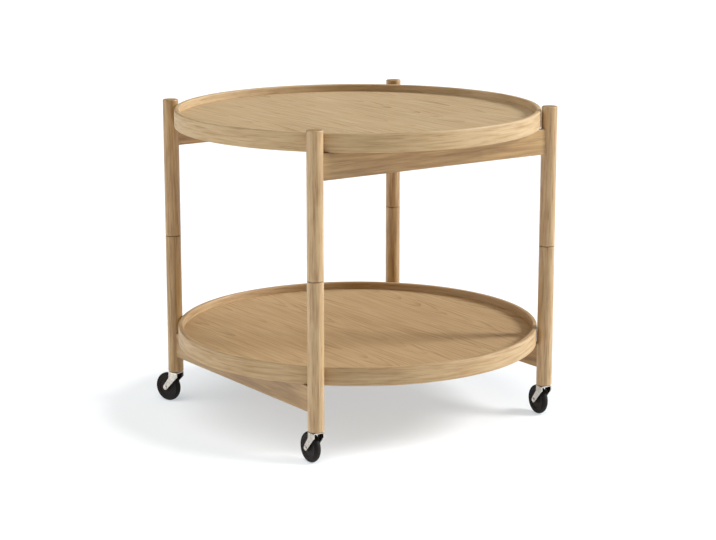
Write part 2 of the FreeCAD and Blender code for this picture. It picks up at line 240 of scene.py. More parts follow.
@dataclass(frozen=True)
class OakEndGrain:
    """Sawn oak end, oiled: dark, dull, with curved growth rings about a heart outside the dowel."""

    name: str
    early: str
    late: str
    ring_mm: float = 2.4
    heart_mm: float = 70.0
    waver_mm: float = 9.0
    roughness: float = 0.58

    def material(self) -> Material:
        """Builds the finish on the grain attribute: ring = distance from the heart / ring width.

        Returns:
            The finished material.
        """
        material, tree, shader = blank(self.name)
        grain = add(tree, "Attribute", attribute_name=GRAIN).outputs["Vector"]
        heart = add(tree, "VectorMath", {0: grain, 1: (0.0, self.heart_mm * MM, 0.0)}, operation="SUBTRACT")
        flat = add(tree, "VectorMath", {0: heart.outputs[0], 1: (0, 1, 1)}, operation="MULTIPLY")
        far = add(tree, "VectorMath", {0: flat.outputs[0]}, operation="LENGTH")
        waver = add(tree, "TexNoise", {"Vector": grain, "Scale": per_metre(self.waver_mm), "Detail": 3.0})
        count = add(tree, "Math", {
            0: far.outputs["Value"], 1: per_metre(self.ring_mm), 2: waver.outputs["Fac"]},
            operation="MULTIPLY_ADD")
        ring = add(tree, "Math", {0: count.outputs[0]}, operation="FRACT")
        ramp = add(tree, "ValToRGB", {"Fac": ring.outputs[0]})
        shade_between(ramp, ((0.0, self.late), (0.45, self.early), (1.0, self.early)))
        bump = add(tree, "Bump", {"Height": ring.outputs[0], "Strength": 0.10, "Distance": 0.2 * MM})
        feed(shader, {
            "Base Color": ramp.outputs["Color"], "Normal": bump.outputs["Normal"],
            "Roughness": self.roughness, "IOR": OIL_IOR})
        return material


@dataclass(frozen=True)
class OakVeneer:
    """Oiled crown-cut oak veneer: arched figure along Y, fine pores, a low satin shine."""

    name: str
    light: str
    middle: str
    dark: str
    late: str = "#8F6D46"
    pore: str = "#8A6A45"
    leaf_mm: float = 102.0
    leaf_middle_mm: float = -8.0
    arch_mm: float = 20.0
    arch_spacing_mm: float = 95.0
    leaf_slip: float = 0.37
    wander_mm: tuple[float, float] = (110.0, 600.0)
    wander_rings: float = 9.0
    wander_climb: float = 7.0
    patch_mm: tuple[float, float] = (90.0, 200.0)
    patch_climb: float = 5.0
    streak_mm: float = 3.6
    pore_mm: float = 1.8
    fibre_ratio: float = 36.0
    roughness: float = 0.66
    shine: float = 0.20

    def ring_place(self, tree: NodeTree, place: NodeSocket) -> NodeSocket:
        """Works out how far into its growth ring a point lies.

        Veneer leaves lie side by side, mirrored. In each leaf the growth rings are parabolas round
        its middle line: ring = y / spacing - (x / arch)^2, moved about by a slow noise. The noise
        climbs with height, so that the two panels differ.

        Args:
            tree: the material's node tree.
            place: the point in Object coordinates.

        Returns:
            The place in the ring, from 0 where it starts to 1 where it ends.
        """
        slow = add(tree, "Mapping", {
            3: (per_metre(self.wander_mm[0]), per_metre(self.wander_mm[1]), self.wander_climb), 0: place})
        hills = add(tree, "TexNoise", {
            "Vector": slow.outputs[0], "Scale": 1.0, "Detail": 4.0, "Roughness": 0.45})
        spot = add(tree, "SeparateXYZ", {0: place})
        from_middle = add(tree, "Math", {
            0: spot.outputs["X"], 1: self.leaf_middle_mm * MM}, operation="SUBTRACT")
        aside = add(tree, "Math", {
            0: from_middle.outputs[0], 1: self.leaf_mm * MM / 2}, operation="PINGPONG")
        steep = add(tree, "Math", {0: aside.outputs[0], 1: self.arch_mm * MM}, operation="DIVIDE")
        bow = add(tree, "Math", {0: steep.outputs[0], 1: 2.0}, operation="POWER")
        run = add(tree, "Math", {0: spot.outputs["Y"], 1: self.arch_spacing_mm * MM}, operation="DIVIDE")
        # Each leaf is laid a little further along than the one before, so the arches don't line up.
        order = add(tree, "Math", {
            0: from_middle.outputs[0], 1: per_metre(self.leaf_mm), 2: 0.5}, operation="MULTIPLY_ADD")
        leaf = add(tree, "Math", {0: order.outputs[0]}, operation="FLOOR")
        slipped = add(tree, "Math", {
            0: leaf.outputs[0], 1: self.leaf_slip, 2: run.outputs[0]}, operation="MULTIPLY_ADD")
        arch = add(tree, "Math", {0: slipped.outputs[0], 1: bow.outputs[0]}, operation="SUBTRACT")
        ring = add(tree, "Math", {
            0: hills.outputs["Fac"], 1: self.wander_rings, 2: arch.outputs[0]}, operation="MULTIPLY_ADD")
        return add(tree, "Math", {0: ring.outputs[0]}, operation="FRACT").outputs[0]

    def material(self) -> Material:
        """Builds the finish on Object coordinates. A growth ring starts as a broken line and fades.

        Returns:
            The finished material.
        """
        material, tree, shader = blank(self.name)
        place = add(tree, "TexCoord").outputs["Object"]
        streak = per_metre(self.streak_mm)
        fibres = add(tree, "Mapping", {3: (streak, streak / self.fibre_ratio, streak), 0: place})
        threads = add(tree, "TexNoise", {
            "Vector": fibres.outputs[0], "Scale": 1.0, "Detail": 5.0, "Roughness": 0.6})
        ramp = add(tree, "ValToRGB", {"Fac": threads.outputs["Fac"]})
        shade_between(ramp, ((0.30, self.dark), (0.50, self.middle), (0.70, self.light)))
        thin = add(tree, "MapRange", {
            "Value": self.ring_place(tree, place), "From Max": 0.42, "To Min": 0.92, "To Max": 0.0})
        broken = add(tree, "MapRange", {
            "Value": threads.outputs["Fac"], "From Min": 0.66, "From Max": 0.38})
        latewood = add(tree, "Math", {0: thin.outputs[0], 1: broken.outputs[0]}, operation="MULTIPLY")
        # The figure is lively in patches and nearly lost between them.
        calm = add(tree, "Mapping", {
            3: (per_metre(self.patch_mm[0]), per_metre(self.patch_mm[1]), self.patch_climb), 0: place})
        patches = add(tree, "TexNoise", {"Vector": calm.outputs[0], "Scale": 1.0, "Detail": 2.0})
        lively = add(tree, "MapRange", {
            "Value": patches.outputs["Fac"], "From Min": 0.44, "From Max": 0.58, "To Min": 0.36})
        figure = add(tree, "Math", {
            0: latewood.outputs[0], 1: lively.outputs["Result"]}, operation="MULTIPLY")
        banded = add(tree, "Mix", {
            0: figure.outputs[0], 6: ramp.outputs["Color"], 7: linear(self.late)}, data_type="RGBA")
        # Here too the vessels are drawn wider than in life.
        fine = per_metre(self.pore_mm)
        vessels = add(tree, "Mapping", {3: (fine, fine / self.fibre_ratio, fine), 0: place})
        pores = add(tree, "TexNoise", {"Vector": vessels.outputs[0], "Scale": 1.0, "Detail": 2.0})
        mask = add(tree, "MapRange", {
            "Value": pores.outputs["Fac"], "From Min": 0.57, "From Max": 0.75, "To Max": 0.45})
        tone = add(tree, "Mix", {
            0: mask.outputs["Result"], 6: banded.outputs[2], 7: linear(self.pore)}, data_type="RGBA")
        gloss = add(tree, "MapRange", {
            "Value": pores.outputs["Fac"], "From Min": 0.35, "From Max": 0.75,
            "To Min": self.roughness - 0.05, "To Max": self.roughness + 0.12})
        bump = add(tree, "Bump", {
            "Height": mask.outputs["Result"], "Strength": 0.12, "Distance": 0.3 * MM}, invert=True)
        feed(shader, {
            "Base Color": tone.outputs[2], "Roughness": gloss.outputs["Result"],
            "Normal": bump.outputs["Normal"], "IOR": OIL_IOR, "Specular IOR Level": self.shine})
        return material


@dataclass(frozen=True)
class PlatedMetal:
    """Plated or turned metal: sharp reflections with a faint cloud of wear."""

    name: str
    colour: str
    worn: str
    roughness: float
    cloud_mm: float = 6.0

    def material(self) -> Material:
        """Builds the finish on Object coordinates.

        Returns:
            The finished material.
        """
        material, tree, shader = blank(self.name)
        place = add(tree, "TexCoord").outputs["Object"]
        cloud = add(tree, "TexNoise", {
            "Vector": place, "Scale": per_metre(self.cloud_mm), "Detail": 4.0, "Roughness": 0.6})
        ramp = add(tree, "ValToRGB", {"Fac": cloud.outputs["Fac"]})
        shade_between(ramp, ((0.35, self.worn), (0.60, self.colour)))
        gloss = add(tree, "MapRange", {
            "Value": cloud.outputs["Fac"], "From Min": 0.3, "From Max": 0.7,
            "To Min": self.roughness + 0.06, "To Max": self.roughness - 0.03})
        feed(shader, {
            "Base Color": ramp.outputs["Color"], "Roughness": gloss.outputs["Result"], "Metallic": 1.0})
        return material


@dataclass(frozen=True)
class MouldedBlack:
    """Moulded rubber or plastic: nearly black, with a fine grit and a trace of dust."""

    name: str
    colour: str
    dusty: str
    roughness: float
    shine: float = 0.25
    grit_mm: float = 0.8
    dust_mm: float = 9.0

    def material(self) -> Material:
        """Builds the finish on Object coordinates.

        Returns:
            The finished material.
        """
        material, tree, shader = blank(self.name)
        place = add(tree, "TexCoord").outputs["Object"]
        dust = add(tree, "TexNoise", {
            "Vector": place, "Scale": per_metre(self.dust_mm), "Detail": 5.0, "Roughness": 0.65})
        ramp = add(tree, "ValToRGB", {"Fac": dust.outputs["Fac"]})
        shade_between(ramp, ((0.40, self.colour), (0.78, self.dusty)))
        # The grit is drawn coarser than in life, so that it shows.
        grit = add(tree, "TexNoise", {"Vector": place, "Scale": per_metre(self.grit_mm), "Detail": 2.0})
        bump = add(tree, "Bump", {"Height": grit.outputs["Fac"], "Strength": 0.12, "Distance": 0.2 * MM})
        gloss = add(tree, "MapRange", {
            "Value": dust.outputs["Fac"], "To Min": self.roughness - 0.08, "To Max": self.roughness + 0.12})
        feed(shader, {
            "Base Color": ramp.outputs["Color"], "Roughness": gloss.outputs["Result"],
            "Normal": bump.outputs["Normal"], "Specular IOR Level": self.shine})
        return material


@dataclass(frozen=True)
class FloorPaper:
    """Matt white paper, lit from below as well, so that the shadow on it stays pale."""

    name: str = "pale_floor_paper"
    light: str = "#BEBEBE"
    dark: str = "#BABABB"
    cloud_mm: float = 2000.0 / 3.0
    glow_tint: str = "#ECF6FE"
    glow: float = 0.49
    roughness: float = 0.9
    shine: float = 0.1

    def material(self) -> Material:
        """Builds the finish on Object coordinates.

        Returns:
            The finished material.
        """
        material, tree, shader = blank(self.name)
        place = add(tree, "TexCoord").outputs["Object"]
        cloud = add(tree, "TexNoise", {"Vector": place, "Scale": per_metre(self.cloud_mm), "Detail": 3.0})
        ramp = add(tree, "ValToRGB", {"Fac": cloud.outputs["Fac"]})
        shade_between(ramp, ((0.3, self.dark), (0.7, self.light)))
        feed(shader, {
            "Base Color": ramp.outputs["Color"], "Roughness": self.roughness,
            "Specular IOR Level": self.shine, "Emission Color": linear(self.glow_tint),
            "Emission Strength": self.glow})
        return material


class Finishes:
    """One material for each finish on the table."""

    def __init__(self) -> None:
        """Builds every material once."""
        dowel, board = {"streak_mm": 4.0}, {"streak_mm": 8.0}
        band = {"pore_share": 0.50, "roughness": 0.54, "wax": 0.0}
        self.leg = OiledOak("oiled_oak_dowel", "#CFAE81", "#BF9D6F", "#9F774B", **dowel).material()
        # Darker, more saturated oak for the two dowels on the far side: painted shade.
        self.painted_shade_leg = OiledOak(
            "oiled_oak_dowel_painted_shade", "#C19E6A", "#B08B58", "#916739", **dowel).material()
        self.leg_end = OakEndGrain("oiled_oak_dowel_end", "#A98658", "#87633B").material()
        # The lower rails, rim and panel are darker and more saturated than the upper ones: painted shade
        # for the level under the upper tray.
        self.rail = {
            Tier.UPPER: OiledOak("oiled_oak_board", "#C9A56F", "#B28C58", "#946C3D", **board).material(),
            Tier.LOWER: OiledOak(
                "oiled_oak_board_painted_shade", "#B89360", "#A37E49", "#866033", **board).material()}
        self.rim = {
            Tier.UPPER: OiledOak("oiled_oak_bent_band", "#D0B186", "#C2A377", "#AE8A5C", **band).material(),
            Tier.LOWER: OiledOak(
                "oiled_oak_bent_band_painted_shade", "#CAAB80", "#BB9B70", "#A78354", **band).material()}
        self.panel = {
            Tier.UPPER: OakVeneer("oiled_oak_crown_veneer", "#CEB28B", "#C3A67D", "#B29268").material(),
            Tier.LOWER: OakVeneer("oiled_oak_crown_veneer_painted_shade", "#CAAC81", "#BE9E74", "#B08F64",
                                  late="#98764C", pore="#96744C").material()}
        self.nickel = PlatedMetal("polished_nickel_sheet", "#D8D3CB", "#BDB6AC", 0.18).material()
        self.steel = PlatedMetal("zinc_plated_steel", "#C3C2BF", "#9E9C98", 0.30).material()
        self.brass = PlatedMetal("turned_brass", "#B99A5B", "#8E7240", 0.32).material()
        self.tyre = MouldedBlack("black_rubber_tyre", "#15100C", "#1F1813", 0.66).material()
        self.hub = MouldedBlack("brown_black_nylon_hub", "#1A120D", "#241A14", 0.60).material()


def placed(name: str, data: ID) -> Object:
    """Makes an object at the origin and links it to the scene.

    Args:
        name: the object's name.
        data: its mesh, light or camera.

    Returns:
        The new object.
    """
    thing = bpy.data.objects.new(name, data)
    bpy.context.scene.collection.objects.link(thing)
    return thing


@dataclass
class Surface:
    """Points, faces and, for every face corner, its place in the wood."""

    points: np.ndarray
    faces: list[np.ndarray]
    grain: list[np.ndarray]

    def volume(self) -> float:
        """Adds up the tetrahedra from the origin to the triangles of each face.

        Returns:
            The volume inside the faces, below zero where they point inwards.
        """
        total = 0.0
        for block in self.faces:
            first = self.points[block[:, 0]]
            for step in range(1, block.shape[1] - 1):
                second, third = self.points[block[:, step]], self.points[block[:, step + 1]]
                total += float(np.einsum("ij,ij->", first, np.cross(second, third))) / 6.0
        return total

    def piece(self, name: str, origin: np.ndarray, axes: np.ndarray, sharp_deg: float) -> Object:
        """Makes the object, with its place in its mesh.

        Args:
            name: the object's name.
            origin: where the local origin lies, in metres.
            axes: the three local axes as rows.
            sharp_deg: edges that turn by more than this stay crisp.

        Returns:
            The new object.
        """
        order = 1 if self.volume() > 0.0 else -1
        blocks = [block[:, ::order] for block in self.faces]
        places = [block[:, ::order] for block in self.grain]
        world = self.points @ axes + origin
        mesh = bpy.data.meshes.new(name)
        mesh.from_pydata(world.tolist(), [], [face for block in blocks for face in block.tolist()])
        flat = np.concatenate([block.reshape(-1, 3) for block in places]).astype(np.float32)
        store = mesh.attributes.new(GRAIN, "FLOAT_VECTOR", "CORNER")
        store.data.foreach_set("vector", flat.ravel())
        mesh.shade_smooth()
        mesh.set_sharp_from_angle(angle=math.radians(sharp_deg))
        mesh.validate()
        mesh.update()
        return placed(name, mesh)


def eased(corners: list[tuple[float, float, float]], closed: bool, steps: int = 6) -> np.ndarray:
    """Rounds the corners of an outline with arcs that are tangent to both sides.

    An arc's centre lies on the line that halves the corner, radius / sin(half the angle) from it.

    Args:
        corners: x, y and rounding radius of each corner.
        closed: whether the last corner joins the first.
        steps: spans in each arc.

    Returns:
        The outline's points, one row each.
    """
    spots = np.array([corner[:2] for corner in corners], float)
    count = len(corners)
    parts = []
    for index, (x, y, radius) in enumerate(corners):
        end = not closed and index in (0, count - 1)
        if end or radius <= 0.0:
            parts.append(np.array([[x, y]]))
            continue
        spot = spots[index]
        back = spots[index - 1] - spot
        ahead = spots[(index + 1) % count] - spot
        back, ahead = back / np.linalg.norm(back), ahead / np.linalg.norm(ahead)
        half = math.acos(float(np.clip(back @ ahead, -1.0, 1.0))) / 2.0
        middle = (back + ahead) / np.linalg.norm(back + ahead)
        centre = spot + middle * radius / math.sin(half)
        start = spot + back * radius / math.tan(half) - centre
        finish = spot + ahead * radius / math.tan(half) - centre
        sweep = math.pi - 2.0 * half
        share = np.linspace(0.0, 1.0, steps + 1)[:, None]
        arc = (np.sin((1.0 - share) * sweep) * start + np.sin(share * sweep) * finish) / math.sin(sweep)
        parts.append(centre + arc)
    return np.concatenate(parts)


def turned(outline: np.ndarray, closed: bool, turns: int, fibre: Fibre = Fibre.ALONG,
           shift: tuple[float, float, float] = (0.0, 0.0, 0.0)) -> Surface:
    """Surface of revolution: point(i, j) = (r_i cos t_j, r_i sin t_j, z_i).

    Args:
        outline: radius and height of each profile point; an open one starts and ends on the axis.
        closed: whether the profile is a loop, as in a ring.
        turns: spans round the axis.
        fibre: whether the fibres run along the axis or round it.
        shift: moves the wood's pattern, so that no two pieces are alike.

    Returns:
        The closed surface.
    """
    rows = len(outline)
    radius, height = outline[:, :1], outline[:, 1:]
    angle = np.linspace(0.0, 2.0 * math.pi, turns + 1)
    grid = np.stack(np.broadcast_arrays(
        radius * np.cos(angle), radius * np.sin(angle), height), axis=-1)
    if fibre is Fibre.ALONG:
        wood = grid[..., [2, 0, 1]] + shift
    else:
        wood = np.stack(np.broadcast_arrays(
            angle[None, :] * outline[:, 0].max(), radius, height), axis=-1) + shift
    poles = [] if closed else [0, -1]
    keep = np.ones((rows, turns), bool)
    keep[poles, 1:] = False
    number = np.cumsum(keep).reshape(rows, turns) - 1
    number[poles] = number[poles, :1]
    number = np.concatenate([number, number[:, :1]], axis=1)
    low = np.arange(rows if closed else rows - 1)
    high = (low + 1) % rows
    quad = np.stack([number[low, :-1], number[low, 1:], number[high, 1:], number[high, :-1]], axis=-1)
    place = np.stack([wood[low, :-1], wood[low, 1:], wood[high, 1:], wood[high, :-1]], axis=-2)
    points = grid[:, :-1][keep]
    if closed:
        return Surface(points, [quad.reshape(-1, 4)], [place.reshape(-1, 4, 3)])
    inner = slice(1, -1)
    faces = [quad[inner].reshape(-1, 4), quad[0][:, [0, 2, 3]], quad[-1][:, [0, 1, 2]]]
    grain = [place[inner].reshape(-1, 4, 3), place[0][:, [0, 2, 3]], place[-1][:, [0, 1, 2]]]
    return Surface(points, faces, grain)


def carried(loops: np.ndarray, wood: np.ndarray) -> Surface:
    """Closed loops carried along a path and capped at both ends.

    Args:
        loops: points by station and by place round the loop.
        wood: the place in the wood of each of those points.

    Returns:
        The closed surface.
    """
    stations, round_count = loops.shape[:2]
    number = np.arange(stations * round_count).reshape(stations, round_count)
    after = np.roll(number, -1, axis=1)
    quad = np.stack([number[:-1], after[:-1], after[1:], number[1:]], axis=-1).reshape(-1, 4)
    caps = [number[0][None, ::-1], number[-1][None, :]]
    flat = wood.reshape(-1, 3)
    return Surface(loops.reshape(-1, 3), [quad, *caps], [flat[quad], *[flat[cap] for cap in caps]])


def settle(piece: Object, material: Material, body: str, slot: str, *nodes: str) -> None:
    """Dresses a piece, sets it on its body and lets it stand for its CAD nodes.

    Args:
        piece: the finished object.
        material: its finish.
        body: the body it moves with.
        slot: the record's material slot; not used.
        *nodes: the CAD nodes that it stands for.
    """
    piece.data.materials.append(material)
    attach(piece, body)
    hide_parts(*nodes)
    log.info("%s rides on %s", piece.name, body)


def dress(node: str, material: Material) -> None:
    """Gives a CAD node that stays a finish.

    Args:
        node: the CAD node's name.
        material: its finish.
    """
    for slot in frame["nodes"][node].material_slots:
        slot.material = material
    log.info("%s keeps its CAD shape", node)


def stance(node: str) -> tuple[np.ndarray, np.ndarray]:
    """Finds where a CAD node stands.

    Args:
        node: the CAD node's name.

    Returns:
        The middle of its box's lower face, and the box's size.
    """
    low, high = (np.array(corner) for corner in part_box(node))
    return np.array([(low[0] + high[0]) / 2, (low[1] + high[1]) / 2, low[2]]), high - low


@dataclass
class Leg:
    """A round dowel leg in two halves that turn on a pin at the seam."""

    side: Side
    radius: float = DOWEL_RADIUS
    top_ease: float = 2.0 * MM
    seam_ease: float = 0.7 * MM
    bush_radius: float = 6.0 * MM
    bush_length: float = 28.0 * MM
    pin_radius: float = 4.0 * MM
    pin_depth: float = 30.0 * MM
    socket_radius: float = 5.5 * MM
    socket_length: float = 32.0 * MM
    turns: int = 64
    # Faces whose normals are this upright show end grain.
    flat_end: float = 0.98
    # Sets the legs apart in the wood's pattern, per metre between them.
    grain_step: tuple[float, float] = (3.0, 5.0)

    def bodies(self) -> tuple[str, str]:
        """Finds the frames that the leg belongs to.

        Returns:
            Names of the bodies of the upper half and the lower half.
        """
        upper = "upper_front_frame" if self.side in (Side.FRONT, Side.RIGHT) else "upper_back_frame"
        lower = "lower_left_frame" if self.side in (Side.FRONT, Side.LEFT) else "lower_right_frame"
        return upper, lower

    def half(self, name: str, body: str, corners: list[tuple[float, float, float]],
             finishes: Finishes) -> None:
        """Turns one half of the leg where its CAD node stands.

        Args:
            name: the CAD node's name.
            body: the body that it moves with.
            corners: the profile from the axis below to the axis above.
            finishes: the table's materials.
        """
        origin = stance(name)[0]
        shift = (0.0, origin[0] * self.grain_step[0], origin[1] * self.grain_step[1] + origin[2])
        shape = turned(eased(corners, False), False, self.turns, shift=shift)
        piece = shape.piece(f"oak_{name}", origin, UPRIGHT, CRISP_DEG)
        # The two dowels on the far side get a darker, more saturated oak: painted shade, as the trays keep
        # them from the light.
        wood = finishes.painted_shade_leg if self.side in (Side.LEFT, Side.BACK) else finishes.leg
        settle(piece, wood, body, "oak_leg", name)
        piece.data.materials.append(finishes.leg_end)
        ends = [abs(face.normal.z) > self.flat_end for face in piece.data.polygons]
        piece.data.polygons.foreach_set("material_index", np.array(ends, np.int32))

    def build(self, finishes: Finishes) -> None:
        """Makes both halves.

        Args:
            finishes: the table's materials.
        """
        upper, lower = f"upper_leg_{self.side.value}", f"lower_leg_{self.side.value}"
        upper_body, lower_body = self.bodies()
        radius, seam = self.radius, self.seam_ease
        tall = [float(stance(name)[1][2]) for name in (upper, lower)]
        self.half(upper, upper_body, [
            (0.0, self.bush_length, 0.0), (self.bush_radius, self.bush_length, 0.0),
            (self.bush_radius, 0.0, 0.0), (radius, 0.0, seam),
            (radius, tall[0], self.top_ease), (0.0, tall[0], 0.0)], finishes)
        self.half(lower, lower_body, [
            (0.0, self.socket_length, 0.0), (self.socket_radius, self.socket_length, 0.0),
            (self.socket_radius, 0.0, 0.0), (radius, 0.0, seam),
            (radius, tall[1], seam), (self.pin_radius, tall[1], 0.0),
            (self.pin_radius, tall[1] - self.pin_depth, 0.0),
            (0.0, tall[1] - self.pin_depth, 0.0)], finishes)


@dataclass
class Rail:
    """A flat board between two legs, its ends coped to the round legs."""

    node: str
    body: str
    along_x: bool
    leg_radius: float = DOWEL_RADIUS
    ease: float = 1.5 * MM
    tenon: float = 4.0 * MM
    bite: float = 0.2 * MM
    stations: int = 25
    grain_step: float = 2.0

    def build(self, finishes: Finishes) -> None:
        """Carries the eased section from leg to leg; x = s (half - sqrt(r^2 - y^2)), s from -1 to 1.

        Args:
            finishes: the table's materials.
        """
        origin, size = stance(self.node)
        long, thick = (size[0], size[1]) if self.along_x else (size[1], size[0])
        wide, tall = thick / 2, size[2]
        section = eased([(-wide, 0.0, self.ease), (wide, 0.0, self.ease),
                         (wide, tall, self.ease), (-wide, tall, self.ease)], True)
        reach = long / 2 - self.tenon - np.sqrt(self.leg_radius ** 2 - section[:, 0] ** 2) + self.bite
        share = np.linspace(-1.0, 1.0, self.stations)[:, None]
        x = share * reach[None, :]
        y, z = (np.broadcast_to(section[:, column], x.shape) for column in (0, 1))
        loops = np.stack([x, y, z], axis=-1)
        shift = np.array([origin[0], origin[1] * self.grain_step, origin[2] + origin[0]])
        axes = UPRIGHT if self.along_x else np.array([UPRIGHT[1], -UPRIGHT[0], UPRIGHT[2]])
        piece = carried(loops, loops + shift).piece(f"oak_{self.node}", origin, axes, CRISP_DEG)
        # A lower rail takes the darker finish, which is painted shade.
        tier = Tier.UPPER if self.node.startswith(Tier.UPPER.value) else Tier.LOWER
        settle(piece, finishes.rail[tier], self.body, "oak_rail", self.node)


@dataclass
class Tray:
    """A bent rim with a veneered panel let into its groove at mid-height."""

    tier: Tier
    thick: float = 9.0 * MM
    ease: float = 2.5 * MM
    groove_depth: float = 4.0 * MM
    groove_height: float = 3.0 * MM
    joint_deg: float = 50.0
    turns: int = 240
    grain_step: float = 3.0

    def build(self, finishes: Finishes) -> None:
        """Turns the rim and dresses the panel.

        Args:
            finishes: the table's materials.
        """
        node = f"{self.tier.value}_tray_rim"
        low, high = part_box(node)
        foot, outer, tall = float(low[2]), float(high[0]), float(high[2] - low[2])
        inner, ease = outer - self.thick, self.ease
        groove_low, groove_high = (tall - self.groove_height) / 2, (tall + self.groove_height) / 2
        outline = eased([
            (outer, 0.0, ease), (outer, tall, ease), (inner, tall, ease), (inner, groove_high, 0.0),
            (inner + self.groove_depth, groove_high, 0.0), (inner + self.groove_depth, groove_low, 0.0),
            (inner, groove_low, 0.0), (inner, 0.0, ease)], True)
        # The band's ends meet beside the back leg.
        turn = math.radians(self.joint_deg)
        cos, sin = math.cos(turn), math.sin(turn)
        axes = np.array([[cos, sin, 0.0], [-sin, cos, 0.0], UPRIGHT[2]])
        shape = turned(outline, True, self.turns, Fibre.ROUND, (0.0, 0.0, foot * self.grain_step))
        piece = shape.piece(f"oak_{node}", np.array([0.0, 0.0, foot]), axes, CRISP_DEG)
        # The lower tray's rim and panel take darker finishes, which are painted shade.
        settle(piece, finishes.rim[self.tier], f"{self.tier.value}_tray", "oak_rim", node)
        dress(f"{self.tier.value}_tray_panel", finishes.panel[self.tier])


@dataclass
class Caster:
    """A swivel caster: bent sheet fork, riveted axle, moulded hub and rubber tyre."""

    side: Side
    # The tyre and the hub under it.
    wheel_radius: float = 26.5 * MM
    tyre_half: float = 6.5 * MM
    tyre_side: float = 23.0 * MM
    seat_radius: float = 20.5 * MM
    seat_half: float = 5.5 * MM
    lip_radius: float = 17.5 * MM
    lip_slope: float = 1.0 * MM
    web_half: float = 4.25 * MM
    boss_radius: float = 6.0 * MM
    boss_half: float = 8.4 * MM
    boss_slope: float = 1.5 * MM
    hub_ease: float = 0.7 * MM
    bore: float = 2.05 * MM
    # The riveted axle.
    axle_radius: float = 2.0 * MM
    head_radius: float = 3.8 * MM
    head: float = 1.3 * MM
    head_dome: float = 0.9 * MM
    # The fork, a sheet bent to a U.
    trail: float = 18.5 * MM
    fork_half: float = 10.5 * MM
    sheet: float = 2.0 * MM
    bend: float = 2.6 * MM
    crown_half: float = 10.0 * MM
    front_cheek: float = 9.0 * MM
    rear_cheek: float = 12.0 * MM
    end_radius: float = 5.0 * MM
    front_deg: float = 223.9
    rear_deg: float = 37.3
    end_gap: float = 0.005 * MM
    edge: float = 0.35 * MM
    # Points and spans of the turned pieces, and the angle that stays crisp on a tyre.
    crown_points: int = 29
    tyre_turns: int = 72
    hub_turns: int = 64
    axle_turns: int = 32
    tyre_crisp_deg: float = 50.0
    # Stations round the fork's end, up a cheek, round a bend and over half the crown, and points across.
    end_stations: int = 9
    cheek_stations: int = 15
    bend_stations: int = 7
    crown_stations: int = 4
    sheet_points: int = 7

    def tyre_outline(self) -> np.ndarray:
        """Draws the section of the tyre: an arc over the crown and a flat seat.

        Returns:
            Radius and sideways place of each point.
        """
        rise = self.wheel_radius - self.tyre_side
        arc = (self.tyre_half ** 2 + rise ** 2) / (2.0 * rise)
        limit = math.asin(self.tyre_half / arc)
        angle = np.linspace(-limit, limit, self.crown_points)
        crown = np.stack([self.wheel_radius - arc + arc * np.cos(angle), arc * np.sin(angle)], axis=-1)
        seat = np.array([[self.seat_radius, self.seat_half], [self.seat_radius, -self.seat_half]])
        return np.concatenate([crown, seat])

    def hub_outline(self) -> np.ndarray:
        """Draws the section of the hub: a boss, a thinner web and a rim under the tyre.

        Returns:
            Radius and sideways place of each point.
        """
        boss, web, seat = self.boss_half, self.web_half, self.seat_half
        lip, soft = self.lip_radius, self.hub_ease
        right = [(self.bore, boss, 0.0), (self.boss_radius, boss, soft),
                 (self.boss_radius + self.boss_slope, web, soft), (lip - self.lip_slope, web, soft),
                 (lip, seat, soft), (self.seat_radius, seat, 0.0)]
        left = [(radius, -y, ease) for radius, y, ease in right]
        return eased(left + right[::-1], True, steps=4)

    def axle_outline(self) -> np.ndarray:
        """Draws the section of the axle: a plain pin with a domed rivet head at each end.

        Returns:
            Radius and sideways place of each point.
        """
        out = self.fork_half + self.head
        right = [(self.axle_radius, self.fork_half, 0.0), (self.head_radius, self.fork_half, 0.0),
                 (self.head_radius, out, self.head_dome), (0.0, out, 0.0)]
        left = [(radius, -y, ease) for radius, y, ease in right[::-1]]
        return eased(left + right, False, steps=5)

    def fork_surface(self, crown_z: float, axle_z: float) -> Surface:
        """Sheet bent over a U-shaped path: up one cheek, over the crown, down the other.

        Each station is a thin eased rectangle from the front edge to the rear edge of the sheet. The edges
        are straight lines tangent to the circle round the axle.

        Args:
            crown_z: height of the crown's upper face.
            axle_z: height of the axle.

        Returns:
            The closed surface, with the leg axis on local Z and the wheel on local +X.
        """
        # The lowest station stops just short of the round end, where the sheet would have no breadth.
        low = axle_z - self.end_radius + self.end_gap
        knee, across = crown_z - self.bend, self.fork_half - self.bend
        climb = low + (axle_z - low) * (1.0 - np.cos(np.linspace(0.0, math.pi / 2, self.end_stations)))
        rise = np.concatenate([climb, np.linspace(axle_z, knee, self.cheek_stations)[1:]])
        turn = np.linspace(0.0, math.pi / 2, self.bend_stations)[1:]
        flat = np.linspace(across, 0.0, self.crown_stations)[1:-1]
        # Four rows each: y and z on the sheet's outer face, and y and z of the way into the sheet.
        cheek = np.broadcast_arrays(self.fork_half, rise, -1.0, 0.0)
        corner = (across + self.bend * np.cos(turn), knee + self.bend * np.sin(turn),
                  -np.cos(turn), -np.sin(turn))
        crown = np.broadcast_arrays(flat, crown_z, 0.0, -1.0)
        half = np.concatenate([cheek, corner, crown], axis=1)
        mirrored = half[:, ::-1] * np.array([[-1.0], [1.0], [-1.0], [1.0]])
        path_y, path_z, in_y, in_z = np.concatenate([half, mirrored], axis=1)
        front, rear = self.fork_edges(path_z, crown_z, axle_z)
        ease = np.minimum(self.edge, (rear - front) / 4.0)[:, None]
        share = np.linspace(0.0, 1.0, self.sheet_points)[None, :]
        front, rear = front[:, None], rear[:, None]
        run = (front + ease) + share * (rear - front - 2.0 * ease)
        x = np.concatenate([run, rear, rear, run[:, ::-1], front, front], axis=1)
        zero, full = np.zeros_like(run), np.full_like(run, self.sheet)
        depth = np.concatenate([zero, ease, self.sheet - ease, full, self.sheet - ease, ease], axis=1)
        y = path_y[:, None] + depth * in_y[:, None]
        z = path_z[:, None] + depth * in_z[:, None]
        loops = np.stack([x, y, z], axis=-1)
        return carried(loops, loops)

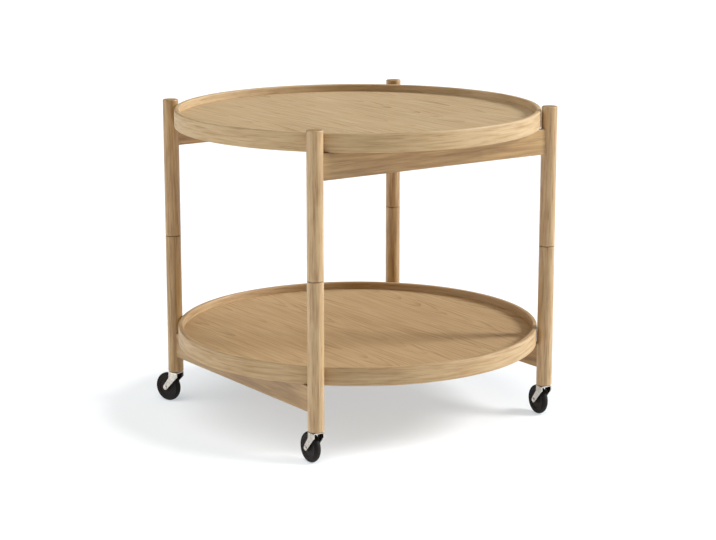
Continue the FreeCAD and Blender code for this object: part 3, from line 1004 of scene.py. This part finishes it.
    def fork_edges(self, z: np.ndarray, crown_z: float, axle_z: float) -> tuple[np.ndarray, np.ndarray]:
        """Front and rear edge of the cheek at each height.

        Args:
            z: heights.
            crown_z: height of the crown's upper face.
            axle_z: height of the axle.

        Returns:
            Distance behind the leg axis of the front edge and of the rear edge.
        """
        round_part = np.sqrt(np.clip(self.end_radius ** 2 - (z - axle_z) ** 2, 0.0, None))
        edges = []
        for sign, degrees, cheek in ((-1.0, self.front_deg, self.front_cheek),
                                     (1.0, self.rear_deg, self.rear_cheek)):
            start, cheek_z = sign * self.crown_half, crown_z - cheek
            touch_x = self.trail + self.end_radius * math.cos(math.radians(degrees))
            touch_z = axle_z + self.end_radius * math.sin(math.radians(degrees))
            line = start + (cheek_z - z) / (cheek_z - touch_z) * (touch_x - start)
            edge = np.where(z > cheek_z, start, np.where(z > touch_z, line, self.trail + sign * round_part))
            edges.append(edge)
        return edges[0], edges[1]

    def build(self, finishes: Finishes) -> None:
        """Makes the fork, axle, hub and tyre where the CAD joints are.

        Args:
            finishes: the table's materials.
        """
        side = self.side.value
        spin = JOINTS[f"wheel_spin_{side}"]
        axle = np.array(spin["axis"], float)
        centre = np.array(spin["pos_m"], float)
        up = UPRIGHT[2]
        back = np.cross(axle, up)
        wheel_axes = np.array([up, back, axle])
        tyre = turned(self.tyre_outline(), True, self.tyre_turns)
        settle(tyre.piece(f"rubber_tyre_{side}", centre, wheel_axes, self.tyre_crisp_deg), finishes.tyre,
               f"wheel_{side}", "wheel_rubber", f"wheel_tyre_{side}")
        hub = turned(self.hub_outline(), True, self.hub_turns)
        settle(hub.piece(f"moulded_hub_{side}", centre, wheel_axes, CRISP_DEG), finishes.hub,
               f"wheel_{side}", "wheel_plastic", f"wheel_hub_{side}")
        rivet = turned(self.axle_outline(), False, self.axle_turns)
        settle(rivet.piece(f"rivet_axle_{side}", centre, wheel_axes, CRISP_DEG), finishes.nickel,
               f"swivel_{side}", "caster_steel", f"caster_axle_{side}")
        crown_z = float(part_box(f"caster_fork_{side}")[1][2])
        leg = (centre - back * self.trail) * (1.0, 1.0, 0.0)
        fork_axes = np.array([back, axle, up])
        fork = self.fork_surface(crown_z, float(centre[2]))
        settle(fork.piece(f"nickel_fork_{side}", leg, fork_axes, CRISP_DEG), finishes.nickel,
               f"swivel_{side}", "caster_nickel", f"caster_fork_{side}")


@dataclass(frozen=True)
class Lamp:
    """A broad soft light, far enough away to light the whole floor alike.

    Its side is counted round the table from straight behind it, to the right, and its rise from the
    floor. Its spread is how wide it looks from the table. Its power is the light on a surface that
    faces it, as a share of full white.
    """

    name: str
    side_deg: float
    rise_deg: float
    spread_deg: float
    power: float
    tint: str = "#FFFFFF"

    def hang(self, heading_deg: float) -> Object:
        """Hangs the lamp.

        Args:
            heading_deg: which way the camera looks, from +X to +Y.

        Returns:
            The lamp's object.
        """
        light = bpy.data.lights.new(self.name, "SUN")
        light.angle = math.radians(self.spread_deg)
        light.energy = self.power * math.pi
        light.color = linear(self.tint)[:3]
        thing = placed(self.name, light)
        turn = heading_deg - self.side_deg + 90.0
        thing.rotation_euler = (math.radians(90.0 - self.rise_deg), 0.0, math.radians(turn))
        return thing


TABLE_LAMPS = (
    Lamp("key", side_deg=84.0, rise_deg=27.0, spread_deg=19.0, power=1.26, tint="#EFF6FF"),
    Lamp("fill", side_deg=-98.0, rise_deg=24.0, spread_deg=60.0, power=0.44, tint="#EFF6FF"),
    Lamp("top", side_deg=0.0, rise_deg=90.0, spread_deg=80.0, power=0.29))
PAPER_LAMPS = (
    Lamp("paper_right", side_deg=102.0, rise_deg=42.0, spread_deg=24.0, power=1.00),
    Lamp("paper_left", side_deg=-153.0, rise_deg=50.0, spread_deg=72.0, power=0.95, tint="#FFFCF6"))


@dataclass
class Studio:
    """Pale glowing floor, broad soft light from both sides and a camera at the photograph's angle."""

    eye: tuple[float, float, float] = (-2.01410, -2.85170, 1.03200)
    heading_deg: float = 54.757
    dip_deg: float = 12.468
    lens_mm: float = 99.43
    sensor_mm: float = 36.0
    view_reach: float = 1000.0
    room: float = 0.06
    wall: float = 0.90
    wall_side_deg: float = 52.0
    # The wall fades in between these cosines of the angle from its middle.
    wall_edge: tuple[float, float] = (0.50, 0.90)
    floor_reach: float = 300.0
    floor_level: float = -0.2 * MM

    def floor(self) -> Object:
        """Lays one large pale sheet.

        Returns:
            The sheet.
        """
        reach, level = self.floor_reach, self.floor_level
        mesh = bpy.data.meshes.new("floor")
        flat = [(-reach, -reach), (reach, -reach), (reach, reach), (-reach, reach)]
        mesh.from_pydata([(x, y, level) for x, y in flat], [], [(0, 1, 2, 3)])
        mesh.materials.append(FloorPaper().material())
        sheet = placed("floor", mesh)
        return sheet

    def passed_by(self, lamp: Object, things: list[Object]) -> Collection:
        """Gathers the objects that a lamp's light, or the shadows in its light, leave out.

        Args:
            lamp: the lamp.
            things: the objects.

        Returns:
            Their collection, which excludes them.
        """
        group = bpy.data.collections.new(f"{lamp.name}_passes_by")
        for thing in things:
            group.objects.link(thing)
        for entry in group.collection_objects:
            entry.light_linking.link_state = "EXCLUDE"
        return group

    def lamps(self, sheet: Object) -> None:
        """Hangs the lamps: three for the table and two for the paper.

        Args:
            sheet: the floor.
        """
        for lamp in TABLE_LAMPS:
            light = lamp.hang(self.heading_deg)
            light.light_linking.receiver_collection = self.passed_by(light, [sheet])
        paper = bpy.data.collections.new("paper_alone")
        paper.objects.link(sheet)
        # Only the lower half of the table throws its shadow on the paper.
        upper = [thing for thing in bpy.context.scene.objects if "upper_" in thing.name]
        for lamp in PAPER_LAMPS:
            light = lamp.hang(self.heading_deg)
            light.light_linking.receiver_collection = paper
            light.light_linking.blocker_collection = self.passed_by(light, upper)

    def surroundings(self) -> World:
        """Stands a white wall to the right of the table in a dim room.

        Returns:
            The world.
        """
        world = bpy.data.worlds.new("white_wall")
        world.use_nodes = True
        tree = world.node_tree
        way = math.radians(self.heading_deg - self.wall_side_deg)
        sight = add(tree, "TexCoord").outputs["Generated"]
        beside = add(tree, "VectorMath", {
            0: sight, 1: (math.cos(way), math.sin(way), 0.0)}, operation="DOT_PRODUCT")
        shine = add(tree, "MapRange", {
            "Value": beside.outputs["Value"], "From Min": self.wall_edge[0], "From Max": self.wall_edge[1],
            "To Min": self.room, "To Max": self.wall})
        feed(tree.nodes["Background"], {"Color": linear("#FFFFFF"), "Strength": shine.outputs["Result"]})
        return world

    def build(self) -> None:
        """Sets floor, lamps, surroundings and camera."""
        scene = bpy.context.scene
        self.lamps(self.floor())
        scene.world = self.surroundings()
        scene.view_settings.view_transform = "Standard"
        camera = bpy.data.cameras.new("camera")
        camera.sensor_width = self.sensor_mm
        camera.lens = self.lens_mm
        camera.clip_end = self.view_reach
        scene.camera = placed("camera", camera)
        scene.camera.location = self.eye
        scene.camera.rotation_euler = (
            math.radians(90.0 - self.dip_deg), 0.0, math.radians(self.heading_deg - 90.0))


def hidden_hardware(finishes: Finishes) -> None:
    """Dresses the small CAD nodes inside the legs and over the forks.

    Args:
        finishes: the table's materials.
    """
    hardware = {
        "pivot_pin": finishes.steel, "pivot_bush": finishes.brass, "pivot_washer": finishes.brass,
        "caster_socket": finishes.steel, "caster_stem": finishes.steel, "caster_washer": finishes.steel}
    for side in Side:
        for part, material in hardware.items():
            dress(f"{part}_{side.value}", material)


def main() -> None:
    """Builds the table's pieces in order and sets the studio."""
    finishes = Finishes()
    for side in Side:
        Leg(side).build(finishes)
        Caster(side).build(finishes)
    for rail in (Rail("upper_rail_front", "upper_front_frame", along_x=True),
                 Rail("upper_rail_back", "upper_back_frame", along_x=True),
                 Rail("lower_rail_left", "lower_left_frame", along_x=False),
                 Rail("lower_rail_right", "lower_right_frame", along_x=False)):
        rail.build(finishes)
    for tier in Tier:
        Tray(tier).build(finishes)
    hidden_hardware(finishes)
    Studio().build()


if __name__ == "__main__":
    logging.basicConfig(level=logging.INFO)
    main()
